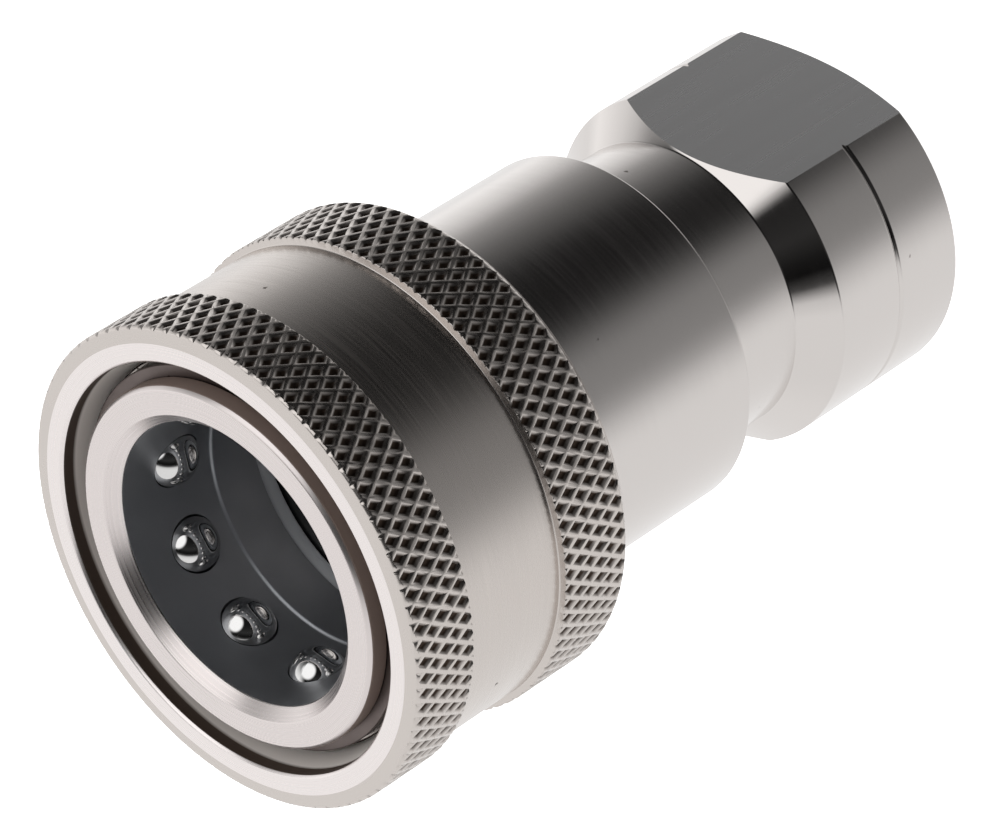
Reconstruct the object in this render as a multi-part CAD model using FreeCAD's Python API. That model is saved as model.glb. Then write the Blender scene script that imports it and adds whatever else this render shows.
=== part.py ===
import FreeCAD, Part
import math
import os

V = FreeCAD.Vector

# Fits shared by the pieces
running_clearance = 0.08
probe_clearance = 0.05
seat_gap = 0.02

# Socket bore, made for a 23.5 mm probe
probe_r = 11.75
mouth_relief = 0.2
mouth_chamfer = 1.0
seal_r = probe_r + probe_clearance
mouth_r = seal_r + mouth_relief

# Probe seal and backup ring in one groove
probe_seal_section = 2.4
probe_seal_squeeze = 0.15
backup_thickness = 1.4
seal_groove_play = 0.2
seal_groove_r = seal_r - probe_seal_squeeze + probe_seal_section + seat_gap

# Radii of the socket body, outwards and inwards from its wall round the seal
seal_wall = 1.28
body_r = seal_groove_r + seal_wall
spigot_wall = 2.15
spigot_r = body_r - spigot_wall
ring_groove_depth = 0.8
ring_groove_r = body_r - ring_groove_depth
ring_groove_play = 0.05
nose_edge = 0.35
body_edge = 0.35

# Radii of the port adapter
wrench_step = 0.05
wrench_r = body_r - wrench_step
across_flats = 25.5
neck_step = 0.6
neck_r = spigot_r - neck_step
groove_half = 0.22
port_major_r = 10.48
port_chamfer = 0.7
port_land = 1.32
port_face_r = port_major_r + port_chamfer + port_land

# Seal between body and adapter, and the pocket inside it
body_seal_section = 1.3
body_seal_groove_half = 0.8
body_seal_groove_r = spigot_r - body_seal_section - 2 * seat_gap
pocket_wall = 0.86
guide_pocket_r = body_seal_groove_r - pocket_wall
guide_ledge = 2.4
passage_r = guide_pocket_r - guide_ledge
spigot_edge = 0.4

# Lengths of the port adapter, up from the port face
port_edge_z = 1.45
groove_z = 8.35
port_depth = 14.5
cove_start_z = 15.5
cove_end_z = cove_start_z + wrench_r - neck_r
neck_run = 11.25
body_end_z = cove_start_z + neck_run
spigot_length = 11.15
spigot_top_z = body_end_z + spigot_length
body_seal_depth = 1.9
body_seal_z = spigot_top_z - body_seal_depth

# Guide and the ring that holds it
guide_rise = 1.25
guide_floor_z = body_end_z + guide_rise
guide_height = 3.2
guide_top_z = guide_floor_z + guide_height
guide_rim_width = 1.58
guide_hub_wall = 1.8
guide_hub_up = 1.8
guide_hub_down = 1.5
guide_legs = 3
guide_leg_width = 2.4
clip_thickness = 1.2
clip_reach = 0.8
clip_depth = 0.5
clip_slot_deg = 40.0
clip_bottom = guide_top_z + ring_groove_play

# Poppet: stem and head
stem_r = 3.0
stem_below_hub = 2.5
stem_edge = 0.5
stem_end_z = guide_floor_z - guide_hub_down - stem_below_hub
chamber_relief = 0.4
chamber_r = guide_pocket_r + chamber_relief
poppet_flow_gap = 1.0
poppet_head_r = chamber_r - poppet_flow_gap
poppet_rim_height = 1.58
poppet_room = 5.3
poppet_back_z = spigot_top_z + poppet_room

# Valve seat, and the poppet's cone and nose in it
seat_overlap = 1.7
seat_hole_r = poppet_head_r - seat_overlap
cone_gap = 0.3
cone_drop = cone_gap * math.sqrt(2)
seat_edge_z = poppet_back_z + poppet_rim_height + seat_overlap + cone_drop
seat_land = 1.3
seat_top_z = seat_edge_z + seat_land
poppet_nose_gap = 0.8
poppet_nose_r = seat_hole_r - poppet_nose_gap
poppet_stand_out = 2.4
poppet_nose_z = seat_top_z + poppet_stand_out
poppet_edge = 0.6
poppet_dish_land = 2.7
poppet_dish_depth = 0.8
poppet_dish_r = poppet_nose_r - poppet_dish_land
poppet_seal_section = 1.6
poppet_seal_proud = 0.27
poppet_seal_up = 0.6
poppet_seal_on_r = seat_hole_r + poppet_seal_up

# Poppet spring, round the guide's hub
poppet_wire_r = 0.6
poppet_spring_gap = 0.6
poppet_spring_turns = 4.5
guide_hub_r = stem_r + guide_hub_wall
poppet_spring_r = guide_hub_r + poppet_spring_gap + poppet_wire_r

# Heights in the socket, up from the valve seat to the nose
probe_nose_room = 2.7
seal_groove_bottom = seat_top_z + probe_nose_room
seal_groove_top = seal_groove_bottom + probe_seal_section + backup_thickness + 2 * seal_groove_play
seal_land = 4.3
mouth_step_z = seal_groove_top + seal_land + mouth_relief
ball_ahead = 3.6
ball_z = mouth_step_z + ball_ahead
front_ring_ahead = 3.45
front_ring_bottom = ball_z + front_ring_ahead
front_ring_thickness = 1.5
front_ring_top = front_ring_bottom + front_ring_thickness
nose_lip = 1.8
nose_z = front_ring_top + nose_lip

# Locking balls and their holes
ball_count = 10
ball_r = 2.38
ball_phase = 16.0
ball_float = 0.36
ball_lip = 0.05
ball_lip_height = 0.12
ball_clear = 0.03
drill_past = 1.0
ball_hole_r = ball_r + running_clearance
ball_lip_r = ball_r - ball_lip

# Locking sleeve, inside: the cam widens a little faster than the balls move out
sleeve_travel = 6.2
cam_margin = 0.03
land_behind_balls = 2.2
chamber_mouth_chamfer = 0.4
land_r = body_r + running_clearance
land_end_z = ball_z - land_behind_balls
ball_centre_r = land_r - ball_float - ball_r
ball_travel = seal_r + ball_clear - (ball_centre_r - ball_r)
ball_ratio = ball_travel / sleeve_travel
cam_slope = (1 + cam_margin) * ball_ratio
cam_lift = ball_float - ball_r * (math.hypot(1, cam_slope) - 1)
cam_start_z = ball_z + (1 - cam_margin) * cam_lift / ball_ratio
sleeve_stop_z = front_ring_bottom - seat_gap
cam_end_r = land_r + (sleeve_stop_z - cam_start_z) * cam_slope

# Retaining ring in front of the sleeve
front_ring_bearing = 0.3
front_ring_r = cam_end_r + front_ring_bearing
ring_slot_deg = 9.0
ring_slot_at = 140.0

# Sleeve spring in its chamber
sleeve_wire_r = 0.6
spring_shaft_gap = 0.5
spring_chamber_gap = 0.4
sleeve_spring_turns = 4.25
sleeve_spring_r = body_r + spring_shaft_gap + sleeve_wire_r
spring_chamber_r = sleeve_spring_r + sleeve_wire_r + spring_chamber_gap

# Locking sleeve, outside
sleeve_wall = 2.25
knurl_height = 0.65
band_r = spring_chamber_r + sleeve_wall
knurl_r = band_r + knurl_height
sleeve_proud = 0.23
sleeve_front_z = nose_z + sleeve_proud
rim_gap = 1.04
rim_inner_r = front_ring_r + rim_gap
rim_inner_chamfer = 0.25
rim_face_width = 1.4
rim_fall = 0.15
rim_edge = 0.2
rim_face_r = rim_inner_r + rim_inner_chamfer + rim_face_width
rim_edge_z = sleeve_front_z - rim_fall - rim_edge
front_knurl_length = 6.73
front_knurl_end_z = sleeve_front_z - front_knurl_length
plain_band_length = 8.9
rear_knurl_start_z = front_knurl_end_z - plain_band_length
rear_knurl_length = 8.2
sleeve_end_z = rear_knurl_start_z - rear_knurl_length
tail_edge = 0.9
sleeve_tail_r = knurl_r - tail_edge

# Knurl: crossing ridges round a pit in each mesh, between two plain lands
knurl_count = 88
knurl_pitch = 2.28
knurl_depth = 0.3
knurl_land = 0.2
knurl_sink = 0.03
knurl_bite = 0.1
knurl_ridge_r = knurl_r - knurl_sink
knurl_pit_r = knurl_ridge_r - knurl_depth
knurl_seat_r = knurl_pit_r - knurl_bite
knurl_buried_r = knurl_seat_r - knurl_bite
rear_knurl = (sleeve_end_z + tail_edge + knurl_land, rear_knurl_start_z - knurl_height - knurl_land)
front_knurl = (front_knurl_end_z + knurl_height + knurl_land, rim_edge_z - knurl_land)

# Ring behind the sleeve spring
stop_ring_inset = 0.35
stop_ring_thickness = 1.3
stop_ring_gap = 0.55
stop_ring_bottom = sleeve_end_z + stop_ring_inset
stop_ring_top = stop_ring_bottom + stop_ring_thickness
stop_ring_r = spring_chamber_r - stop_ring_gap


def revolved(points, angle=360.0):
    corners = [V(r, 0, z) for r, z in points]
    face = Part.Face(Part.makePolygon(corners + corners[:1]))
    return face.revolve(V(0, 0, 0), V(0, 0, 1), angle)


def groove(outer_r, inner_r, low, high):
    return [(outer_r, low), (inner_r, low), (inner_r, high), (outer_r, high)]


def ring_groove(low, high):
    return groove(body_r, ring_groove_r, low - ring_groove_play, high + ring_groove_play)


def ring(inner_r, outer_r, low, high, slot_deg=0.0):
    section = [(inner_r, low), (outer_r, low), (outer_r, high), (inner_r, high)]
    shape = revolved(section, 360.0 - slot_deg)
    shape.rotate(V(0, 0, 0), V(0, 0, 1), ring_slot_at + slot_deg / 2)
    return shape


def coil(mean_r, wire_r, low, high, turns):
    start = low + wire_r + seat_gap
    height = high - wire_r - seat_gap - start
    helix = Part.makeHelix(height / turns, height, mean_r)
    circle = Part.makeCircle(wire_r, V(mean_r, 0, 0), V(0, 1, 0))
    shape = Part.Wire(helix.Edges).makePipeShell([Part.Wire(circle)], True, True)
    shape.translate(V(0, 0, start))
    return shape


def ball_angle(index):
    return math.radians(ball_phase + index * 360.0 / ball_count)


def ball_hole(index):
    angle = ball_angle(index)
    out = V(math.cos(angle), math.sin(angle), 0)
    start = V(0, 0, ball_z)
    reach = body_r + drill_past
    seat_r = mouth_r + ball_lip_height
    lip = Part.makeCylinder(ball_lip_r, reach, start, out)
    drill = Part.makeCylinder(ball_hole_r, reach - seat_r, start + out * seat_r, out)
    return lip.fuse(drill)


def socket_body():
    outside = [(body_r - body_edge, body_end_z), (body_r, body_end_z + body_edge)]
    outside += ring_groove(stop_ring_bottom, stop_ring_top)
    outside += ring_groove(front_ring_bottom, front_ring_top)
    outside += [(body_r, nose_z - nose_edge), (body_r - nose_edge, nose_z)]
    bore = [(mouth_r + mouth_chamfer, nose_z), (mouth_r, nose_z - mouth_chamfer)]
    bore += [(mouth_r, mouth_step_z), (seal_r, mouth_step_z - mouth_relief)]
    bore += [(seal_r, seal_groove_top), (seal_groove_r, seal_groove_top)]
    bore += [(seal_groove_r, seal_groove_bottom), (mouth_r, seal_groove_bottom), (mouth_r, seat_top_z)]
    valve = [(seat_hole_r, seat_top_z), (seat_hole_r, seat_edge_z)]
    valve += [(chamber_r, seat_edge_z - chamber_r + seat_hole_r), (chamber_r, spigot_top_z)]
    valve += [(spigot_r, spigot_top_z), (spigot_r, body_end_z)]
    shape = revolved(outside + bore + valve)
    for index in range(ball_count):
        shape = shape.cut(ball_hole(index))
    return shape


def port_adapter():
    outside = [(port_face_r, 0), (wrench_r, port_edge_z), (wrench_r, groove_z - groove_half)]
    outside += [(wrench_r - groove_half, groove_z), (wrench_r, groove_z + groove_half)]
    outside += [(wrench_r, cove_start_z), (neck_r, cove_end_z), (neck_r, body_end_z), (spigot_r, body_end_z)]
    seal_low = body_seal_z - body_seal_groove_half
    seal_high = body_seal_z + body_seal_groove_half
    outside += groove(spigot_r, body_seal_groove_r, seal_low, seal_high)
    outside += [(spigot_r, spigot_top_z - spigot_edge), (spigot_r - spigot_edge, spigot_top_z)]
    clip_high = clip_bottom + clip_thickness + ring_groove_play
    clip_low = clip_bottom - ring_groove_play
    pocket = [(guide_pocket_r, spigot_top_z)]
    pocket += groove(guide_pocket_r, guide_pocket_r + clip_depth, clip_high, clip_low)
    pocket += [(guide_pocket_r, guide_floor_z), (passage_r, guide_floor_z)]
    port = [(passage_r, port_depth + port_major_r - passage_r), (port_major_r, port_depth)]
    port += [(port_major_r, port_chamfer), (port_major_r + port_chamfer, 0)]
    shape = revolved(outside + pocket + port)
    for turn in (0, 180):
        chip = Part.makeBox(wrench_r, 2 * wrench_r, cove_end_z, V(across_flats / 2, -wrench_r, 0))
        chip.rotate(V(0, 0, 0), V(0, 0, 1), turn)
        shape = shape.cut(chip)
    return shape


def knurl_ring(z, radii):
    step = math.pi / knurl_count
    turns = [(radii[i % 2], i * step) for i in range(2 * knurl_count)]
    return [V(r * math.cos(angle), r * math.sin(angle), z) for r, angle in turns]


def knurl_rings(low, high):
    half = knurl_pitch / 2
    rows = int((high - low) / half)
    start = (low + high - rows * half) / 2
    level = (knurl_ridge_r, knurl_ridge_r)
    buried = (knurl_buried_r, knurl_buried_r)
    staggered = [(knurl_ridge_r, knurl_pit_r), (knurl_pit_r, knurl_ridge_r)]
    rings = [knurl_ring(low - knurl_bite, level)]
    rings += [knurl_ring(start + row * half, staggered[row % 2]) for row in range(1, rows)]
    rings += [knurl_ring(high + knurl_bite, level), knurl_ring(high + knurl_bite, buried)]
    return rings + [knurl_ring(low - knurl_bite, buried)]


def knurl_band(low, high):
    rings = knurl_rings(low, high)
    columns = 2 * knurl_count
    facets = []
    for row in range(len(rings)):
        next_row = (row + 1) % len(rings)
        for i in range(columns):
            j = (i + 1) % columns
            a, b = row * columns + i, row * columns + j
            d, c = next_row * columns + i, next_row * columns + j
            if (row + i) % 2:
                facets += [(a, b, d), (b, c, d)]
            else:
                facets += [(a, b, c), (a, c, d)]
    shape = Part.Shape()
    shape.makeShapeFromMesh((sum(rings, []), facets), seat_gap / 100)
    return Part.Solid(shape)


def locking_sleeve():
    inside = [(rim_inner_r + rim_inner_chamfer, sleeve_front_z)]
    inside += [(rim_inner_r, sleeve_front_z - rim_inner_chamfer), (rim_inner_r, sleeve_stop_z)]
    inside += [(cam_end_r, sleeve_stop_z), (land_r, cam_start_z)]
    inside += [(land_r, land_end_z), (spring_chamber_r, land_end_z)]
    inside += [(spring_chamber_r, sleeve_end_z + chamber_mouth_chamfer)]
    inside += [(spring_chamber_r + chamber_mouth_chamfer, sleeve_end_z)]
    outside = [(sleeve_tail_r, sleeve_end_z), (knurl_r, sleeve_end_z + tail_edge)]
    outside += groove(knurl_r, knurl_seat_r, *rear_knurl)
    outside += [(knurl_r, rear_knurl_start_z - knurl_height), (band_r, rear_knurl_start_z)]
    outside += [(band_r, front_knurl_end_z), (knurl_r, front_knurl_end_z + knurl_height)]
    outside += groove(knurl_r, knurl_seat_r, *front_knurl)
    outside += [(knurl_r, rim_edge_z), (knurl_r - rim_edge, rim_edge_z + rim_edge)]
    outside += [(rim_face_r, sleeve_front_z)]
    blank = revolved(inside + outside)
    return blank.fuse([knurl_band(*rear_knurl), knurl_band(*front_knurl)])


def sleeve_spring():
    return coil(sleeve_spring_r, sleeve_wire_r, stop_ring_top, land_end_z, sleeve_spring_turns)


def sleeve_retaining_ring():
    return ring(ring_groove_r, front_ring_r, front_ring_bottom, front_ring_top, ring_slot_deg)


def spring_stop_ring():
    return ring(ring_groove_r, stop_ring_r, stop_ring_bottom, stop_ring_top, ring_slot_deg)


def locking_ball(index):
    angle = ball_angle(index)
    centre = V(ball_centre_r * math.cos(angle), ball_centre_r * math.sin(angle), ball_z)
    return Part.makeSphere(ball_r, centre)


def probe_seal():
    section_r = probe_seal_section / 2
    middle_z = seal_groove_bottom + seal_groove_play + section_r
    return Part.makeTorus(seal_r - probe_seal_squeeze + section_r, section_r, V(0, 0, middle_z))


def backup_ring():
    top = seal_groove_top - seat_gap
    return ring(mouth_r, seal_groove_r - seat_gap, top - backup_thickness, top)


def poppet_seal_place():
    section_r = poppet_seal_section / 2
    cone_z = seat_edge_z + seat_hole_r - cone_drop - poppet_seal_on_r
    sink = (section_r - poppet_seal_proud) * math.sqrt(0.5)
    return poppet_seal_on_r - sink, cone_z - sink


def poppet():
    dish_floor_z = poppet_nose_z - poppet_dish_depth
    cone_top = seat_edge_z + seat_hole_r - cone_drop
    front = [(0, dish_floor_z), (poppet_dish_r - poppet_dish_depth, dish_floor_z)]
    front += [(poppet_dish_r, poppet_nose_z), (poppet_nose_r - poppet_edge, poppet_nose_z)]
    front += [(poppet_nose_r, poppet_nose_z - poppet_edge), (poppet_nose_r, cone_top - poppet_nose_r)]
    back = [(poppet_head_r, cone_top - poppet_head_r), (poppet_head_r, poppet_back_z)]
    back += [(stem_r, poppet_back_z), (stem_r, stem_end_z + stem_edge)]
    back += [(stem_r - stem_edge, stem_end_z), (0, stem_end_z)]
    seal_centre_r, seal_z = poppet_seal_place()
    seat = Part.makeTorus(seal_centre_r, poppet_seal_section / 2 + seat_gap, V(0, 0, seal_z))
    return revolved(front + back).cut(seat)


def poppet_seal():
    centre_r, z = poppet_seal_place()
    return Part.makeTorus(centre_r, poppet_seal_section / 2, V(0, 0, z))


def poppet_spring():
    return coil(poppet_spring_r, poppet_wire_r, guide_top_z, poppet_back_z, poppet_spring_turns)


def poppet_guide():
    rim_r = guide_pocket_r - seat_gap
    rim_bore_r = rim_r - guide_rim_width
    shape = ring(rim_bore_r, rim_r, guide_floor_z, guide_top_z)
    hub_low = guide_floor_z - guide_hub_down
    hub_height = guide_top_z + guide_hub_up - hub_low
    shape = shape.fuse(Part.makeCylinder(guide_hub_r, hub_height, V(0, 0, hub_low)))
    leg_reach = (rim_bore_r + rim_r) / 2
    for index in range(guide_legs):
        corner = V(0, -guide_leg_width / 2, guide_floor_z)
        leg = Part.makeBox(leg_reach, guide_leg_width, guide_height, corner)
        leg.rotate(V(0, 0, 0), V(0, 0, 1), index * 360.0 / guide_legs)
        shape = shape.fuse(leg)
    stem_hole = Part.makeCylinder(stem_r + running_clearance, hub_height, V(0, 0, hub_low))
    return shape.cut(stem_hole).removeSplitter()


def guide_retaining_ring():
    inner_r = guide_pocket_r - clip_reach
    outer_r = guide_pocket_r + clip_depth - ring_groove_play
    return ring(inner_r, outer_r, clip_bottom, clip_bottom + clip_thickness, clip_slot_deg)


def body_seal():
    section_r = body_seal_section / 2
    return Part.makeTorus(spigot_r - seat_gap - section_r, section_r, V(0, 0, body_seal_z))


def main():
    os.makedirs("parts", exist_ok=True)
    makers = [socket_body, port_adapter, locking_sleeve, sleeve_spring, sleeve_retaining_ring,
              spring_stop_ring, probe_seal, backup_ring, poppet, poppet_seal, poppet_spring,
              poppet_guide, guide_retaining_ring, body_seal]
    shapes = {maker.__name__: maker() for maker in makers}
    for index in range(ball_count):
        shapes["locking_ball_%02d" % (index + 1)] = locking_ball(index)
    for name, shape in shapes.items():
        if not shape.isValid():
            raise RuntimeError("bad solid: " + name)
        shape.exportStep("parts/" + name + ".step")


main()
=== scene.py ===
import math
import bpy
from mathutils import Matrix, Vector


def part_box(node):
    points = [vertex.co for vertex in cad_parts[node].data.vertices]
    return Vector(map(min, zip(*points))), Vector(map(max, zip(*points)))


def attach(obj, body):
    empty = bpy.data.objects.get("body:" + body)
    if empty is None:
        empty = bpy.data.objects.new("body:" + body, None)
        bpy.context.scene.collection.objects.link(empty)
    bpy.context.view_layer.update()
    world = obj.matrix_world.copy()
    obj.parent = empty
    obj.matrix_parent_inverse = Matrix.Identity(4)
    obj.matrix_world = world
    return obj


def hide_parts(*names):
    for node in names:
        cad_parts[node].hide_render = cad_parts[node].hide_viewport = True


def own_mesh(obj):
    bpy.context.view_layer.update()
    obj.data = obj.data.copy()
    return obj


bl_info = {
    "name": "Quick coupling socket",
    "version": (1, 0, 0),
    "blender": (4, 5, 0),
    "location": "View3D > Sidebar > Coupling",
    "description": "Dresses the packed coupling: knurled sleeve, turned body, thread, springs, studio",
    "category": "Object",
}

import bmesh
import bpy
from mathutils import Matrix, Vector

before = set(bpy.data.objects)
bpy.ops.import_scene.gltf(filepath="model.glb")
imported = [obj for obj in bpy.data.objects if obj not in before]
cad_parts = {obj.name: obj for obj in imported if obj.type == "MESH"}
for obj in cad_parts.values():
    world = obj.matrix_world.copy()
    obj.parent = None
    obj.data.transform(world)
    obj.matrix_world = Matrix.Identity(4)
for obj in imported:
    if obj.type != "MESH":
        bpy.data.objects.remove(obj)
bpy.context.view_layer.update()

MM = 0.001
WELD = 1e-6                       # points closer than this are one point
TOUCH = 0.01 * MM                 # points this close to a surface lie on it
SQUARE = 0.999                    # a direction with this much along an axis runs along it
TURN_STEPS = 180                  # facets round a turned piece
SECTION_TURN = math.radians(70)   # a half plane that meets no ball hole, slot or wrench flat
SECTION_FLAT = math.radians(4)    # section points that turn less than this are left out
CORNER = math.radians(20)         # outline corners sharper than this are broken
CORNER_STEPS = 3                  # facets of a broken corner
CREASE = math.radians(30)         # edges sharper than this stay sharp in shading
KNURL_CREASE = math.radians(50)   # the same for the knurl, whose shoulders are rounded

# Sleeve
LAND_STEP = 0.005 * MM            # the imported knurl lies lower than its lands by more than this
KNURL_ROOM = 1 * MM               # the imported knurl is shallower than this
PIT_MOST = 1.2                    # points deeper than this many knurl depths lie in no pit
TOOL_GAP = 0.03 * MM              # how far a cutter stays off what it leaves standing
TOOL_WALL = 2 * MM                # thickness of the knurling tool
BAND_LEAST = 19 * MM              # the sleeve's outside is wider than this
STEP_FOOT = 0.65 * MM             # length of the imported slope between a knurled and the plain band
STEP_LEAN = 0.1 * MM              # length of the finished step there
REAR_ROUND = 0.35 * MM            # rounding of the sleeve's rear edge
REAR_STEPS = 4                    # facets of that rounding
WALL_STEP = 1.35 * MM             # depth of the step in the rim's inner wall
WALL_LEDGE = 0.8 * MM             # how much narrower that wall is at its foot
WALL_SHADE = 1.3 * MM             # depth of the painted dark reflection behind the rim's front face
WALL_FADE = 0.15 * MM             # how softly that painted dark reflection gives way to the pale one
GAP_DEPTH = 3.6 * MM              # depth of the gap between rim and nose
RIM_LEAST = 18.5 * MM             # the rim's inner wall lies inside this radius
RIM_CONE = 1.32 * MM              # the sleeve's front face ends this far inside its knurl
RIM_FACE = 1.35 * MM              # width of that front face
RIM_DEPTH = 0.4 * MM              # the front face with its inner chamfer
RIM_FORWARD = 0.5                 # the direction of that face has more than this along the axis

# Body
NOSE_DEPTH = 1.05 * MM            # the body's front face with its inner chamfer
NOSE_FORWARD = 0.6                # the direction of that face has more than this along the axis
NOSE_WALL = 2 * MM                # the nose's outside lies farther than this outside the mouth bore
REAR_DEPTH = 1 * MM               # the body's rear face with its edges
BORE_ROOM = 3 * MM                # the bore's grooves lie within this of the mouth bore
DRILL_ROOM = 1 * MM               # the walls of the ball holes lie within this of the balls
DRILL_SKIN = 0.05 * MM            # those walls lie farther than this under the outside
DRILL_REACH = 18 * MM             # the drill for the ball holes starts at this radius
DRILL_POINT = 3 * MM              # length of the drill's thin end
DRILL_STEPS = 64                  # facets round the drill

# Port end
NECK_RUN = 5 * MM                 # the neck is at least this long
COVE_LEAST, COVE_MOST = 0.4, 0.9  # the cove's direction has this much along the axis
FLATS_BELOW = 1 * MM              # the wrench flats lie farther than this below the body
MILL_BLOCK = Vector((8, 40, 30)) * MM
FACE_ROOM = 1 * MM                # the port face lies below this height
THREAD_ROOM = 15 * MM             # the port's threaded stretch ends below this height
THREAD_HALF_ANGLE = math.radians(27.5)
THREAD_STEPS = 96                 # facets in one turn of the thread
THREAD_SPARE = 2                  # turns of the tap before the thread begins

# Rings and springs
RING_EDGE = 0.15 * MM             # rounding of the rings' edges
RING_MARGIN = math.radians(0.3)   # keeps a snap ring's section clear of its slot
COIL_TURNS = 6                    # turns of a spring
COIL_CLOSED = 1                   # closed turns at each end
COIL_CLOSED_RISE = 1.02           # rise of a closed turn in wire diameters
COIL_GROUND = 0.3                 # share of the wire that is ground off at each end
COIL_STEPS = 48                   # points in one turn
WIRE_STEPS = 4                    # gives twelve facets round the wire
GRIND_BLOCK = 60 * MM             # size of the block that grinds a spring's end flat

# Finishes
NICK_SPACING = 5.5 * MM           # mean distance between two nicks
NICK_SIZE = 0.22 * MM             # radius of a nick
NICK_CORE = 0.5                   # share of that radius that is fully dark
NICK_RAGGED = 0.4 * MM            # how far a nick's outline wanders
MARK_RELIEF = 0.002 * MM          # height of tool marks
MARK_SMOOTH, MARK_ROUGH = 0.85, 1.2   # how far tool marks change the roughness
FACING_FEED = 0.15 * MM           # distance between the rings of a faced surface
RUBBER_RELIEF = 0.01 * MM         # height of the rubber's grain
NOISE_LOW, NOISE_HIGH = 0.3, 0.7  # a noise pattern lies mostly between these
TURNED_STREAK = (0.03, 0.03, 1)   # marks drawn out round the axis
STRIP_STREAK = (0.1, 0.1, 1)      # the same, shorter, on rolled strip
MILLED_STREAK = (1, 1, 0.03)      # marks drawn out along the axis
DRAWN_STREAK = (1, 1, 0.1)        # the same, shorter, on drawn wire
PIT_BARE, PIT_FULL = 0.08, 0.8    # depths in the knurl where old oil, dust and painted shade begin and where they are full
GRIME_ROUGHNESS = 0.5
MIX_A, MIX_B, MIX_RESULT = 6, 7, 2    # colour sockets of a mix node
WHITE = (1, 1, 1, 1)


def linear(code):
    """Linear RGB of an sRGB hex colour."""
    shares = [int(code[i:i + 2], 16) / 255 for i in (1, 3, 5)]
    return tuple(s / 12.92 if s <= 0.04045 else ((s + 0.055) / 1.055) ** 2.4 for s in shares)


def node_size(name):
    """Lowest corner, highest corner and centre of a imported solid."""
    low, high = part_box(name)
    return low, high, (low + high) / 2


SLEEVE_HIGH = node_size("locking_sleeve")[1]
BALL_LOW, BALL_HIGH, BALL_MID = node_size("locking_ball_01")
BODY_LOW, BODY_HIGH = node_size("socket_body")[:2]
PORT_LOW = node_size("port_adapter")[0]
BALLS = sorted(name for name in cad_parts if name.startswith("locking_ball_"))


def length(name, description, millimetres):
    """A length property that the user can change."""
    return bpy.props.FloatProperty(
        name=name, description=description, default=millimetres * MM, min=0, unit="LENGTH", precision=5)


def colour(name, description, code):
    """A colour property that the user can change."""
    return bpy.props.FloatVectorProperty(
        name=name, description=description, default=linear(code), min=0, max=1, size=3, subtype="COLOR")


class CouplingSizes(bpy.types.PropertyGroup):
    """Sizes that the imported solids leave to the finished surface"""

    edge_break: length("Edge break", "Rounding left on the turned corners", 0.1)
    knurl_count: bpy.props.IntProperty(
        name="Knurl count", description="Pits in one row round the sleeve", default=88, min=12)
    knurl_pitch: length("Knurl pitch", "Length of one pit and ridge along the axis", 2.28)
    knurl_ridge: length("Knurl ridge", "Width of the flat crest between two pits", 0.2)
    knurl_shoulder: length("Knurl shoulder", "Width of the rounded edge of a pit", 0.1)
    knurl_shoulder_drop: length("Knurl shoulder drop", "Depth of the rounded edge of a pit", 0.06)
    knurl_wall: length("Knurl wall", "Width of a pit's side, seen from above", 0.22)
    knurl_depth: length("Knurl depth", "From the crest down to the floor of a pit", 0.3)
    mouth_bore: length("Mouth bore", "Radius of the bore at the balls", 12.0)
    ball_hole_gap: length("Ball hole gap", "Room round a ball in its hole", 0.08)
    ball_lip: length("Ball lip", "Step that keeps a ball from falling into the bore", 0.13)
    ball_lip_height: length("Ball lip height", "Height of that step above the bore", 0.12)
    thread_pitch: length("Thread pitch", "Pitch of the parallel pipe thread in the port", 1.814)
    thread_height: length("Thread height", "From the thread's root to its crest", 1.16)
    sleeve_wire: length("Sleeve spring wire", "Diameter of the sleeve spring's wire", 1.2)
    poppet_wire: length("Poppet spring wire", "Diameter of the poppet spring's wire", 1.2)


class CouplingColours(bpy.types.PropertyGroup):
    """Colours of the finishes"""

    turned_steel: colour("Turned steel", "Body and port end", "#D5D0CD")
    # painted highlight: a lighter steel for the sleeve's front face than for the rest of the sleeve
    faced_steel: colour("Faced steel", "Front face of the sleeve, lightened as painted highlight", "#EBE4E2")
    nose_steel: colour("Nose steel", "Front face of the body", "#DDD5D3")
    # painted shade: a darker grey than the turned steel outside, for the inside of the socket
    bored_steel_painted_shade: colour("Bored steel", "Oiled inside of the socket, darkened as painted shade", "#B2B4B8")
    milled_steel: colour("Milled steel", "Wrench flats", "#DAD9D9")
    sleeve_steel: colour("Sleeve steel", "Knurled sleeve", "#CEC7C2")
    ball_steel: colour("Ball steel", "Locking balls", "#DAD9D8")
    spring_steel: colour("Spring steel", "Springs", "#B8AEA0")
    ring_steel: colour("Ring steel", "Snap rings", "#6E6461")
    # dark brown for real nicks and oil, also used as painted shade in the knurl's pits and as painted dark
    # reflection behind the rim
    grime_and_shade: colour("Grime", "Old oil and dust", "#4A3E36")
    film: colour("Oil film", "Old oil in the gap behind the rim", "#94827A")
    # painted highlight: a pale colour deep in the gap behind the rim, standing in for a bright reflection
    painted_highlight: colour("Painted highlight", "Pale grease deep in that gap", "#F6F0EA")
    seal_rubber: colour("Seal rubber", "Seals", "#1B1B1D")
    white_ptfe: colour("White PTFE", "Backup ring", "#E8EAEC")
    floor: colour("Floor", "Studio floor", "#FFFFFF")


def sizes():
    """The sizes as the user left them."""
    return bpy.context.scene.coupling_sizes


def colours():
    """The colours as the user left them."""
    return bpy.context.scene.coupling_colours


# Modelling helpers

def leave_edit():
    """Closes edit mode if it is open."""
    if bpy.context.object and bpy.context.object.mode == "EDIT":
        bpy.ops.object.mode_set(mode="OBJECT")


def only(piece):
    """Makes one object the active one and the only one selected."""
    leave_edit()
    bpy.ops.object.select_all(action="DESELECT")
    bpy.context.view_layer.objects.active = piece
    piece.select_set(True)


def edit(piece):
    """Opens one object alone in edit mode with everything in it selected."""
    only(piece)
    bpy.ops.object.mode_set(mode="EDIT")
    bpy.ops.mesh.select_mode(type="VERT")
    bpy.ops.mesh.select_all(action="SELECT")


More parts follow.
